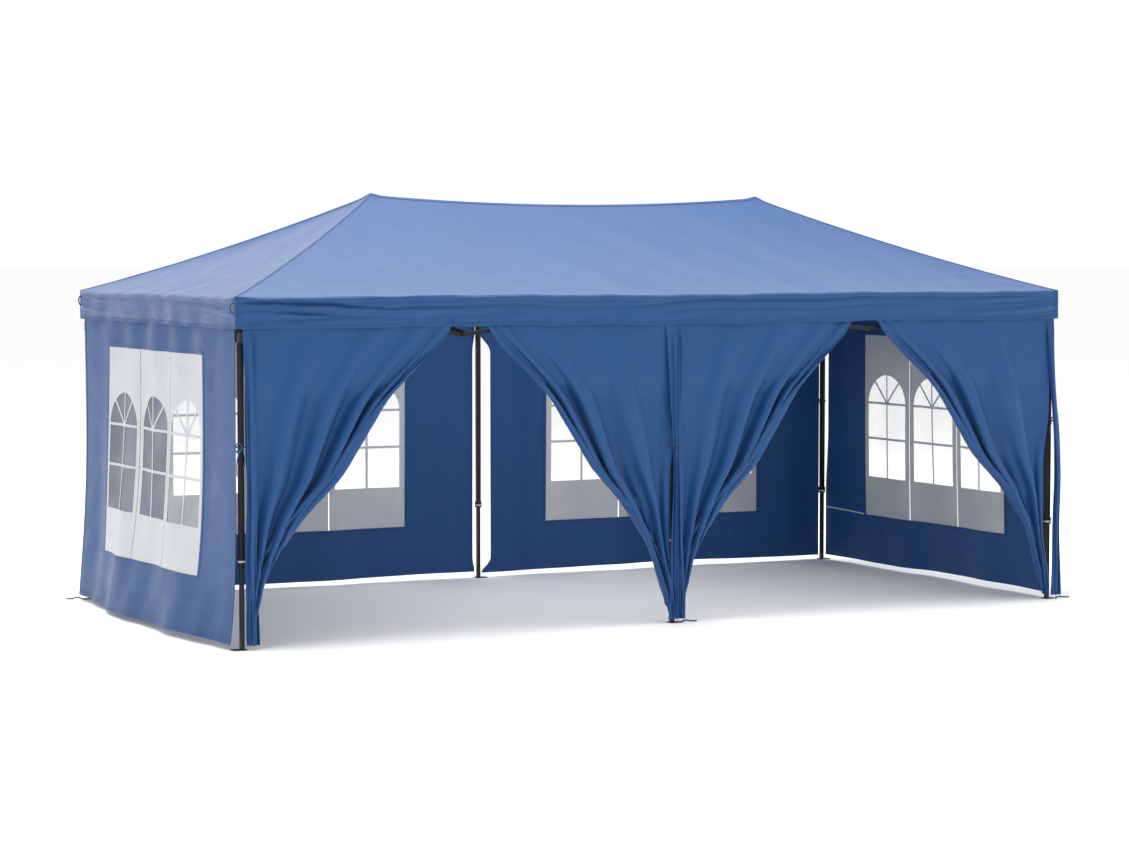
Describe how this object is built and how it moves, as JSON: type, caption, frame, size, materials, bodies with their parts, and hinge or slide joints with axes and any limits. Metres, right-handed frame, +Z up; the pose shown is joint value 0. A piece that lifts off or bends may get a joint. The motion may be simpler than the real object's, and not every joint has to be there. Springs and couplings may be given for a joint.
{
  "type": "pop up gazebo",
  "caption": "Rectangular folding party tent on telescoping legs, with scissor trusses, a twin-peak hipped roof cover, window walls and drawn-back door curtains.",
  "frame": {"origin": "on the ground under the middle of the tent", "axes": "+X along the long side, -Y towards the open front with the curtains, +Z up"},
  "size_m": [5.97, 3.01, 2.7356],
  "materials": {
    "black_paint": "black powder coat, satin",
    "lower_tube_paint": "black powder coat with fine sliding scuffs",
    "black_plastic": "moulded, matt",
    "roof_fabric": "coated blue polyester, plain weave",
    "wall_fabric": "coated blue polyester, plain weave"
  },
  "bodies": {
    "leg_front_left": {"leg_front_left": "black_paint"},
    "leg_front_middle": {"leg_front_middle": "black_paint", "door_walls": "wall_fabric", "window_walls": "wall_fabric"},
    "leg_front_right": {"leg_front_right": "black_paint"},
    "leg_back_left": {"leg_back_left": "black_paint"},
    "leg_back_middle": {"leg_back_middle": "black_paint"},
    "leg_back_right": {"leg_back_right": "black_paint"},
    "lower_leg_front_left": {"lower_leg_front_left": "lower_tube_paint"},
    "slider_front_left": {"slider_front_left": "black_plastic"},
    "lower_leg_front_middle": {"lower_leg_front_middle": "lower_tube_paint"},
    "slider_front_middle": {"slider_front_middle": "black_plastic"},
    "lower_leg_front_right": {"lower_leg_front_right": "lower_tube_paint"},
    "slider_front_right": {"slider_front_right": "black_plastic"},
    "lower_leg_back_left": {"lower_leg_back_left": "lower_tube_paint"},
    "slider_back_left": {"slider_back_left": "black_plastic"},
    "lower_leg_back_middle": {"lower_leg_back_middle": "lower_tube_paint"},
    "slider_back_middle": {"slider_back_middle": "black_plastic"},
    "lower_leg_back_right": {"lower_leg_back_right": "lower_tube_paint"},
    "slider_back_right": {"slider_back_right": "black_plastic"},
    "truss_front_left_near_high": {"truss_front_left_near_high": "black_paint"},
    "truss_front_left_near_low": {"truss_front_left_near_low": "black_paint"},
    "truss_front_left_far_low": {"truss_front_left_far_low": "black_paint"},
    "truss_front_left_far_high": {"truss_front_left_far_high": "black_paint"},
    "truss_front_right_near_high": {"truss_front_right_near_high": "black_paint"},
    "truss_front_right_near_low": {"truss_front_right_near_low": "black_paint"},
    "truss_front_right_far_low": {"truss_front_right_far_low": "black_paint"},
    "truss_front_right_far_high": {"truss_front_right_far_high": "black_paint"},
    "truss_left_end_near_high": {"truss_left_end_near_high": "black_paint"},
    "truss_left_end_near_low": {"truss_left_end_near_low": "black_paint"},
    "truss_left_end_far_low": {"truss_left_end_far_low": "black_paint"},
    "truss_left_end_far_high": {"truss_left_end_far_high": "black_paint"},
    "truss_right_end_near_high": {"truss_right_end_near_high": "black_paint"},
    "truss_right_end_near_low": {"truss_right_end_near_low": "black_paint"},
    "truss_right_end_far_low": {"truss_right_end_far_low": "black_paint"},
    "truss_right_end_far_high": {"truss_right_end_far_high": "black_paint"},
    "truss_back_left_near_high": {"truss_back_left_near_high": "black_paint"},
    "truss_back_left_near_low": {"truss_back_left_near_low": "black_paint"},
    "truss_back_left_far_low": {"truss_back_left_far_low": "black_paint"},
    "truss_back_left_far_high": {"truss_back_left_far_high": "black_paint"},
    "truss_back_right_near_high": {"truss_back_right_near_high": "black_paint"},
    "truss_back_right_near_low": {"truss_back_right_near_low": "black_paint"},
    "truss_back_right_far_low": {"truss_back_right_far_low": "black_paint"},
    "truss_back_right_far_high": {"truss_back_right_far_high": "black_paint"},
    "cross_truss_left_near_high": {"cross_truss_left_near_high": "black_paint"},
    "cross_truss_left_near_low": {"cross_truss_left_near_low": "black_paint"},
    "cross_truss_left_far_low": {"cross_truss_left_far_low": "black_paint"},
    "cross_truss_left_far_high": {"cross_truss_left_far_high": "black_paint"},
    "cross_truss_right_near_high": {"cross_truss_right_near_high": "black_paint"},
    "cross_truss_right_near_low": {"cross_truss_right_near_low": "black_paint"},
    "cross_truss_right_far_low": {"cross_truss_right_far_low": "black_paint"},
    "cross_truss_right_far_high": {"cross_truss_right_far_high": "black_paint"},
    "cross_link_left": {"cross_link_left": "black_paint"},
    "peak_pole_left": {"peak_pole_left": "black_paint"},
    "cross_link_right": {"cross_link_right": "black_paint"},
    "peak_pole_right": {"peak_pole_right": "black_paint"},
    "canopy_front": {"canopy_front": "roof_fabric"},
    "canopy_back": {"canopy_back": "roof_fabric"},
    "canopy_left": {"canopy_left": "roof_fabric"},
    "canopy_right": {"canopy_right": "roof_fabric"}
  },
  "joints": [
    {"name": "fold", "type": "hinge", "parent": "leg_front_middle", "child": "truss_front_left_near_high", "pos_m": [-0.06, -1.46, 2.045], "axis": [0, -1, 0], "range_deg": [0, 79], "deforming": ["canopy_front", "canopy_back", "canopy_left", "canopy_right", "window_walls", "door_walls"]},
    {"name": "truss_front_left_far_high_pivot", "type": "hinge", "parent": "truss_front_left_near_high", "child": "truss_front_left_far_high", "pos_m": [-1.46, -1.46, 1.8613], "axis": [0, -1, 0], "range_deg": [-158.5, 0]},
    {"name": "truss_front_left_near_low_pivot", "type": "hinge", "parent": "truss_front_left_near_high", "child": "truss_front_left_near_low", "pos_m": [-0.76, -1.46, 1.95315], "axis": [0, -1, 0], "range_deg": [-158.5, 0]},
    {"name": "truss_front_left_far_low_pivot", "type": "hinge", "parent": "truss_front_left_far_high", "child": "truss_front_left_far_low", "pos_m": [-2.16, -1.46, 1.95315], "axis": [0, -1, 0], "range_deg": [0, 158.5]},
    {"name": "leg_front_left_pivot", "type": "hinge", "parent": "truss_front_left_far_high", "child": "leg_front_left", "pos_m": [-2.86, -1.46, 2.045], "axis": [0, -1, 0], "range_deg": [0, 79.5]},
    {"name": "slider_front_left_pivot", "type": "hinge", "parent": "truss_front_left_far_low", "child": "slider_front_left", "pos_m": [-2.86, -1.46, 1.8613], "axis": [0, -1, 0], "range_deg": [-79.5, 0]},
    {"name": "slider_front_middle_pivot", "type": "hinge", "parent": "truss_front_left_near_low", "child": "slider_front_middle", "pos_m": [-0.06, -1.46, 1.8613], "axis": [0, -1, 0], "range_deg": [0, 79.5]},
    {"name": "truss_front_right_near_high_pivot", "type": "hinge", "parent": "leg_front_middle", "child": "truss_front_right_near_high", "pos_m": [0.06, -1.46, 2.045], "axis": [0, 1, 0], "range_deg": [0, 79.5]},
    {"name": "truss_front_right_far_high_pivot", "type": "hinge", "parent": "truss_front_right_near_high", "child": "truss_front_right_far_high", "pos_m": [1.46, -1.46, 1.8613], "axis": [0, 1, 0], "range_deg": [-158.5, 0]},
    {"name": "truss_front_right_near_low_pivot", "type": "hinge", "parent": "truss_front_right_near_high", "child": "truss_front_right_near_low", "pos_m": [0.76, -1.46, 1.95315], "axis": [0, 1, 0], "range_deg": [-158.5, 0]},
    {"name": "truss_front_right_far_low_pivot", "type": "hinge", "parent": "truss_front_right_far_high", "child": "truss_front_right_far_low", "pos_m": [2.16, -1.46, 1.95315], "axis": [0, 1, 0], "range_deg": [0, 158.5]},
    {"name": "leg_front_right_pivot", "type": "hinge", "parent": "truss_front_right_far_high", "child": "leg_front_right", "pos_m": [2.86, -1.46, 2.045], "axis": [0, 1, 0], "range_deg": [0, 79.5]},
    {"name": "slider_front_right_pivot", "type": "hinge", "parent": "truss_front_right_far_low", "child": "slider_front_right", "pos_m": [2.86, -1.46, 1.8613], "axis": [0, 1, 0], "range_deg": [-79.5, 0]},
    {"name": "truss_left_end_near_high_pivot", "type": "hinge", "parent": "leg_front_left", "child": "truss_left_end_near_high", "pos_m": [-2.92, -1.4, 2.045], "axis": [-1, 0, 0], "range_deg": [0, 79.5]},
    {"name": "truss_left_end_far_high_pivot", "type": "hinge", "parent": "truss_left_end_near_high", "child": "truss_left_end_far_high", "pos_m": [-2.92, 0, 1.8613], "axis": [-1, 0, 0], "range_deg": [-158.5, 0]},
    {"name": "truss_left_end_near_low_pivot", "type": "hinge", "parent": "truss_left_end_near_high", "child": "truss_left_end_near_low", "pos_m": [-2.92, -0.7, 1.95315], "axis": [-1, 0, 0], "range_deg": [-158.5, 0]},
    {"name": "truss_left_end_far_low_pivot", "type": "hinge", "parent": "truss_left_end_far_high", "child": "truss_left_end_far_low", "pos_m": [-2.92, 0.7, 1.95315], "axis": [-1, 0, 0], "range_deg": [0, 158.5]},
    {"name": "leg_back_left_pivot", "type": "hinge", "parent": "truss_left_end_far_high", "child": "leg_back_left", "pos_m": [-2.92, 1.4, 2.045], "axis": [-1, 0, 0], "range_deg": [0, 79.5]},
    {"name": "slider_back_left_pivot", "type": "hinge", "parent": "truss_left_end_far_low", "child": "slider_back_left", "pos_m": [-2.92, 1.4, 1.8613], "axis": [-1, 0, 0], "range_deg": [-79.5, 0]},
    {"name": "truss_right_end_near_high_pivot", "type": "hinge", "parent": "leg_front_right", "child": "truss_right_end_near_high", "pos_m": [2.92, -1.4, 2.045], "axis": [-1, 0, 0], "range_deg": [0, 79.5]},
    {"name": "truss_right_end_far_high_pivot", "type": "hinge", "parent": "truss_right_end_near_high", "child": "truss_right_end_far_high", "pos_m": [2.92, 0, 1.8613], "axis": [-1, 0, 0], "range_deg": [-158.5, 0]},
    {"name": "truss_right_end_near_low_pivot", "type": "hinge", "parent": "truss_right_end_near_high", "child": "truss_right_end_near_low", "pos_m": [2.92, -0.7, 1.95315], "axis": [-1, 0, 0], "range_deg": [-158.5, 0]},
    {"name": "truss_right_end_far_low_pivot", "type": "hinge", "parent": "truss_right_end_far_high", "child": "truss_right_end_far_low", "pos_m": [2.92, 0.7, 1.95315], "axis": [-1, 0, 0], "range_deg": [0, 158.5]},
    {"name": "leg_back_right_pivot", "type": "hinge", "parent": "truss_right_end_far_high", "child": "leg_back_right", "pos_m": [2.92, 1.4, 2.045], "axis": [-1, 0, 0], "range_deg": [0, 79.5]},
    {"name": "slider_back_right_pivot", "type": "hinge", "parent": "truss_right_end_far_low", "child": "slider_back_right", "pos_m": [2.92, 1.4, 1.8613], "axis": [-1, 0, 0], "range_deg": [-79.5, 0]},
    {"name": "truss_back_left_near_high_pivot", "type": "hinge", "parent": "leg_back_left", "child": "truss_back_left_near_high", "pos_m": [-2.86, 1.46, 2.045], "axis": [0, 1, 0], "range_deg": [0, 79.5]},
    {"name": "truss_back_left_far_high_pivot", "type": "hinge", "parent": "truss_back_left_near_high", "child": "truss_back_left_far_high", "pos_m": [-1.46, 1.46, 1.8613], "axis": [0, 1, 0], "range_deg": [-158.5, 0]},
    {"name": "truss_back_left_near_low_pivot", "type": "hinge", "parent": "truss_back_left_near_high", "child": "truss_back_left_near_low", "pos_m": [-2.16, 1.46, 1.95315], "axis": [0, 1, 0], "range_deg": [-158.5, 0]},
    {"name": "truss_back_left_far_low_pivot", "type": "hinge", "parent": "truss_back_left_far_high", "child": "truss_back_left_far_low", "pos_m": [-0.76, 1.46, 1.95315], "axis": [0, 1, 0], "range_deg": [0, 158.5]},
    {"name": "leg_back_middle_pivot", "type": "hinge", "parent": "truss_back_left_far_high", "child": "leg_back_middle", "pos_m": [-0.06, 1.46, 2.045], "axis": [0, 1, 0], "range_deg": [0, 79.5]},
    {"name": "slider_back_middle_pivot", "type": "hinge", "parent": "truss_back_left_far_low", "child": "slider_back_middle", "pos_m": [-0.06, 1.46, 1.8613], "axis": [0, 1, 0], "range_deg": [-79.5, 0]},
    {"name": "truss_back_right_near_high_pivot", "type": "hinge", "parent": "leg_back_right", "child": "truss_back_right_near_high", "pos_m": [2.86, 1.46, 2.045], "axis": [0, -1, 0], "range_deg": [0, 79.5]},
    {"name": "truss_back_right_far_high_pivot", "type": "hinge", "parent": "truss_back_right_near_high", "child": "truss_back_right_far_high", "pos_m": [1.46, 1.46, 1.8613], "axis": [0, -1, 0], "range_deg": [-158.5, 0]},
    {"name": "truss_back_right_near_low_pivot", "type": "hinge", "parent": "truss_back_right_near_high", "child": "truss_back_right_near_low", "pos_m": [2.16, 1.46, 1.95315], "axis": [0, -1, 0], "range_deg": [-158.5, 0]},
    {"name": "truss_back_right_far_low_pivot", "type": "hinge", "parent": "truss_back_right_far_high", "child": "truss_back_right_far_low", "pos_m": [0.76, 1.46, 1.95315], "axis": [0, -1, 0], "range_deg": [0, 158.5]},
    {"name": "cross_link_left_pivot", "type": "hinge", "parent": "truss_front_left_near_low", "child": "cross_link_left", "pos_m": [-1.46, -1.46, 2.045], "axis": [0, -1, 0], "range_deg": [0, 79.5]},
    {"name": "cross_truss_left_near_high_pivot", "type": "hinge", "parent": "cross_link_left", "child": "cross_truss_left_near_high", "pos_m": [-1.415, -1.4, 2.045], "axis": [-1, 0, 0], "range_deg": [0, 79.5]},
    {"name": "cross_truss_left_far_high_pivot", "type": "hinge", "parent": "cross_truss_left_near_high", "child": "cross_truss_left_far_high", "pos_m": [-1.415, 0, 1.8613], "axis": [-1, 0, 0], "range_deg": [-158.5, 0]},
    {"name": "cross_truss_left_near_low_pivot", "type": "hinge", "parent": "cross_truss_left_near_high", "child": "cross_truss_left_near_low", "pos_m": [-1.415, -0.7, 1.95315], "axis": [-1, 0, 0], "range_deg": [-158.5, 0]},
    {"name": "cross_truss_left_far_low_pivot", "type": "hinge", "parent": "cross_truss_left_far_high", "child": "cross_truss_left_far_low", "pos_m": [-1.415, 0.7, 1.95315], "axis": [-1, 0, 0], "range_deg": [0, 158.5]},
    {"name": "peak_pole_left_pivot", "type": "hinge", "parent": "cross_truss_left_near_high", "child": "peak_pole_left", "pos_m": [-1.415, 0, 1.8613], "axis": [-1, 0, 0], "range_deg": [-79.5, 0]},
    {"name": "cross_link_right_pivot", "type": "hinge", "parent": "truss_front_right_near_low", "child": "cross_link_right", "pos_m": [1.46, -1.46, 2.045], "axis": [0, 1, 0], "range_deg": [0, 79.5]},
    {"name": "cross_truss_right_near_high_pivot", "type": "hinge", "parent": "cross_link_right", "child": "cross_truss_right_near_high", "pos_m": [1.415, -1.4, 2.045], "axis": [-1, 0, 0], "range_deg": [0, 79.5]},
    {"name": "cross_truss_right_far_high_pivot", "type": "hinge", "parent": "cross_truss_right_near_high", "child": "cross_truss_right_far_high", "pos_m": [1.415, 0, 1.8613], "axis": [-1, 0, 0], "range_deg": [-158.5, 0]},
    {"name": "cross_truss_right_near_low_pivot", "type": "hinge", "parent": "cross_truss_right_near_high", "child": "cross_truss_right_near_low", "pos_m": [1.415, -0.7, 1.95315], "axis": [-1, 0, 0], "range_deg": [-158.5, 0]},
    {"name": "cross_truss_right_far_low_pivot", "type": "hinge", "parent": "cross_truss_right_far_high", "child": "cross_truss_right_far_low", "pos_m": [1.415, 0.7, 1.95315], "axis": [-1, 0, 0], "range_deg": [0, 158.5]},
    {"name": "peak_pole_right_pivot", "type": "hinge", "parent": "cross_truss_right_near_high", "child": "peak_pole_right", "pos_m": [1.415, 0, 1.8613], "axis": [-1, 0, 0], "range_deg": [-79.5, 0]},
    {"name": "canopy_front_eave", "type": "hinge", "parent": "leg_front_middle", "child": "canopy_front", "pos_m": [0, -1.502, 2.1], "axis": [-1, 0, 0], "range_deg": [0, 113.42]},
    {"name": "canopy_back_eave", "type": "hinge", "parent": "leg_back_middle", "child": "canopy_back", "pos_m": [0, 1.502, 2.1], "axis": [1, 0, 0], "range_deg": [0, 113.42]},
    {"name": "canopy_left_eave", "type": "hinge", "parent": "leg_front_left", "child": "canopy_left", "pos_m": [-2.962, 0, 2.1], "axis": [0, 1, 0], "range_deg": [0, 113.42]},
    {"name": "canopy_right_eave", "type": "hinge", "parent": "leg_front_right", "child": "canopy_right", "pos_m": [2.962, 0, 2.1], "axis": [0, -1, 0], "range_deg": [0, 113.42]},
    {"name": "lower_leg_front_left_slide", "type": "slide", "parent": "leg_front_left", "child": "lower_leg_front_left", "axis": [0, 0, 1], "range_m": [0, 0.48]},
    {"name": "lower_leg_front_middle_slide", "type": "slide", "parent": "leg_front_middle", "child": "lower_leg_front_middle", "axis": [0, 0, 1], "range_m": [0, 0.48]},
    {"name": "lower_leg_front_right_slide", "type": "slide", "parent": "leg_front_right", "child": "lower_leg_front_right", "axis": [0, 0, 1], "range_m": [0, 0.48]},
    {"name": "lower_leg_back_left_slide", "type": "slide", "parent": "leg_back_left", "child": "lower_leg_back_left", "axis": [0, 0, 1], "range_m": [0, 0.48]},
    {"name": "lower_leg_back_middle_slide", "type": "slide", "parent": "leg_back_middle", "child": "lower_leg_back_middle", "axis": [0, 0, 1], "range_m": [0, 0.48]},
    {"name": "lower_leg_back_right_slide", "type": "slide", "parent": "leg_back_right", "child": "lower_leg_back_right", "axis": [0, 0, 1], "range_m": [0, 0.48]}
  ],
  "couplings": [
    {"joint": "truss_front_left_far_high_pivot", "follows": "fold", "ratio": -2},
    {"joint": "truss_front_left_near_low_pivot", "follows": "fold", "ratio": -2},
    {"joint": "truss_front_left_far_low_pivot", "follows": "fold", "ratio": 2},
    {"joint": "leg_front_left_pivot", "follows": "fold", "ratio": 1},
    {"joint": "slider_front_left_pivot", "follows": "fold", "ratio": -1},
    {"joint": "slider_front_middle_pivot", "follows": "fold", "ratio": 1},
    {"joint": "truss_front_right_near_high_pivot", "follows": "fold", "ratio": 1},
    {"joint": "truss_front_right_far_high_pivot", "follows": "fold", "ratio": -2},
    {"joint": "truss_front_right_near_low_pivot", "follows": "fold", "ratio": -2},
    {"joint": "truss_front_right_far_low_pivot", "follows": "fold", "ratio": 2},
    {"joint": "leg_front_right_pivot", "follows": "fold", "ratio": 1},
    {"joint": "slider_front_right_pivot", "follows": "fold", "ratio": -1},
    {"joint": "truss_left_end_near_high_pivot", "follows": "fold", "ratio": 1},
    {"joint": "truss_left_end_far_high_pivot", "follows": "fold", "ratio": -2},
    {"joint": "truss_left_end_near_low_pivot", "follows": "fold", "ratio": -2},
    {"joint": "truss_left_end_far_low_pivot", "follows": "fold", "ratio": 2},
    {"joint": "leg_back_left_pivot", "follows": "fold", "ratio": 1},
    {"joint": "slider_back_left_pivot", "follows": "fold", "ratio": -1},
    {"joint": "truss_right_end_near_high_pivot", "follows": "fold", "ratio": 1},
    {"joint": "truss_right_end_far_high_pivot", "follows": "fold", "ratio": -2},
    {"joint": "truss_right_end_near_low_pivot", "follows": "fold", "ratio": -2},
    {"joint": "truss_right_end_far_low_pivot", "follows": "fold", "ratio": 2},
    {"joint": "leg_back_right_pivot", "follows": "fold", "ratio": 1},
    {"joint": "slider_back_right_pivot", "follows": "fold", "ratio": -1},
    {"joint": "truss_back_left_near_high_pivot", "follows": "fold", "ratio": 1},
    {"joint": "truss_back_left_far_high_pivot", "follows": "fold", "ratio": -2},
    {"joint": "truss_back_left_near_low_pivot", "follows": "fold", "ratio": -2},
    {"joint": "truss_back_left_far_low_pivot", "follows": "fold", "ratio": 2},
    {"joint": "leg_back_middle_pivot", "follows": "fold", "ratio": 1},
    {"joint": "slider_back_middle_pivot", "follows": "fold", "ratio": -1},
    {"joint": "truss_back_right_near_high_pivot", "follows": "fold", "ratio": 1},
    {"joint": "truss_back_right_far_high_pivot", "follows": "fold", "ratio": -2},
    {"joint": "truss_back_right_near_low_pivot", "follows": "fold", "ratio": -2},
    {"joint": "truss_back_right_far_low_pivot", "follows": "fold", "ratio": 2},
    {"joint": "cross_link_left_pivot", "follows": "fold", "ratio": 1},
    {"joint": "cross_truss_left_near_high_pivot", "follows": "fold", "ratio": 1},
    {"joint": "cross_truss_left_far_high_pivot", "follows": "fold", "ratio": -2},
    {"joint": "cross_truss_left_near_low_pivot", "follows": "fold", "ratio": -2},
    {"joint": "cross_truss_left_far_low_pivot", "follows": "fold", "ratio": 2},
    {"joint": "peak_pole_left_pivot", "follows": "fold", "ratio": -1},
    {"joint": "cross_link_right_pivot", "follows": "fold", "ratio": 1},
    {"joint": "cross_truss_right_near_high_pivot", "follows": "fold", "ratio": 1},
    {"joint": "cross_truss_right_far_high_pivot", "follows": "fold", "ratio": -2},
    {"joint": "cross_truss_right_near_low_pivot", "follows": "fold", "ratio": -2},
    {"joint": "cross_truss_right_far_low_pivot", "follows": "fold", "ratio": 2},
    {"joint": "peak_pole_right_pivot", "follows": "fold", "ratio": -1},
    {"joint": "canopy_front_eave", "follows": "fold", "ratio": 1.4293},
    {"joint": "canopy_back_eave", "follows": "fold", "ratio": 1.4293},
    {"joint": "canopy_left_eave", "follows": "fold", "ratio": 1.4293},
    {"joint": "canopy_right_eave", "follows": "fold", "ratio": 1.4293}
  ]
}
